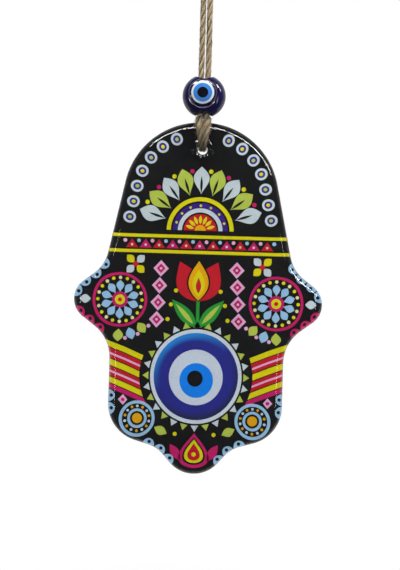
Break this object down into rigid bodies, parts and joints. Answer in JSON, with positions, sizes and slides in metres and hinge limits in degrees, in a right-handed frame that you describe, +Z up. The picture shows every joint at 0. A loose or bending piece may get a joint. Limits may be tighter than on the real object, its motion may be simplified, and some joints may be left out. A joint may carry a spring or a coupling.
{
  "type": "hamsa hand ornament",
  "caption": "Hanging hamsa hand of clear fused glass over a colourful folk print with a large eye, on a jute twine loop with a glass eye bead that slides above it.",
  "frame": {"origin": "inside the top of the hanging loop, where a nail or hook bears", "axes": "+Z up along the hanging line, the printed front faces -Y, +X to the right as seen from the front"},
  "size_m": [0.0848, 0.0104, 0.2054],
  "materials": {
    "clear_glass": "fire-polished clear",
    "ground_enamel": "fired black enamel print",
    "halo_enamel": "fired pale enamel print",
    "cobalt_enamel": "fired cobalt enamel print",
    "white_enamel": "fired white enamel print",
    "iris_enamel": "fired light blue enamel print",
    "cobalt_glass": "polished dark cobalt glass",
    "white_glass": "polished opaque white glass",
    "iris_glass": "polished opaque light blue glass",
    "black_glass": "polished opaque black glass",
    "jute": "three-ply natural jute twine"
  },
  "bodies": {
    "hanger": {"hanging_loop": "jute", "top_knot": "jute"},
    "drop": {"drop_twine_right": "jute", "drop_twine_left": "jute"},
    "bead": {"bead_body": "cobalt_glass", "bead_white_front": "white_glass", "bead_iris_front": "iris_glass", "bead_pupil_front": "black_glass", "bead_white_back": "white_glass", "bead_iris_back": "iris_glass", "bead_pupil_back": "black_glass"},
    "plate": {"front_glass": "clear_glass", "base_glass": "clear_glass", "print_ground": "ground_enamel", "eye_halo": "halo_enamel", "eye_cobalt": "cobalt_enamel", "eye_white": "white_enamel", "eye_iris": "iris_enamel", "eye_pupil": "ground_enamel"}
  },
  "joints": [
    {"name": "drop_swing", "type": "hinge", "parent": "hanger", "child": "drop", "pos_m": [0, 0, -0.0394], "axis": [1, 0, 0], "range_deg": [-30, 30]},
    {"name": "bead_slide", "type": "slide", "parent": "drop", "child": "bead", "axis": [0, 0, 1], "range_m": [0, 0.025]},
    {"name": "plate_swing", "type": "hinge", "parent": "drop", "child": "plate", "pos_m": [0, 0, -0.0929], "axis": [0, 1, 0], "range_deg": [-15, 15]}
  ]
}
